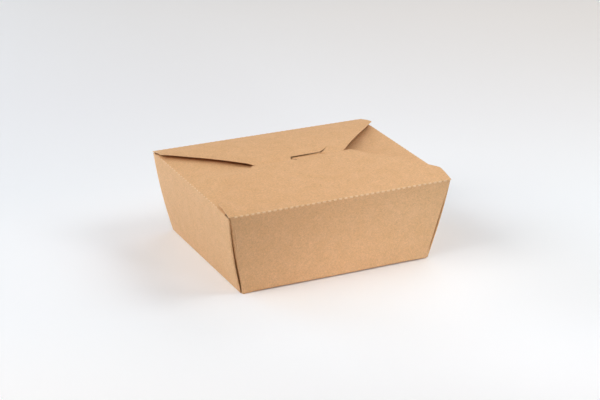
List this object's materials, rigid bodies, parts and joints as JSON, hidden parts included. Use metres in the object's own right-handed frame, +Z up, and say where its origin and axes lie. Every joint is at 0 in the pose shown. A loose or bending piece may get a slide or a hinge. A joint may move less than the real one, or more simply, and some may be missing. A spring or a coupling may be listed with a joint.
{
  "type": "takeaway box",
  "caption": "Folded kraft board takeaway box with leaning walls, inside web corners and a tongue-locked arched lid flap that swings open.",
  "frame": {"origin": "centre of the base, on the surface the box stands on", "axes": "+X along the long sides, +Y from the front wall to the back wall, +Z up"},
  "size_m": [0.1746, 0.1402, 0.0681],
  "materials": {
    "kraft_board": "matt"
  },
  "bodies": {
    "carton": {"carton": "kraft_board"},
    "lid": {"front_flap": "kraft_board"}
  },
  "joints": [
    {"name": "front_flap_fold", "type": "hinge", "parent": "carton", "child": "lid", "pos_m": [0, -0.06978, 0.06177], "axis": [1, 0, 0], "range_deg": [0, 180]}
  ]
}
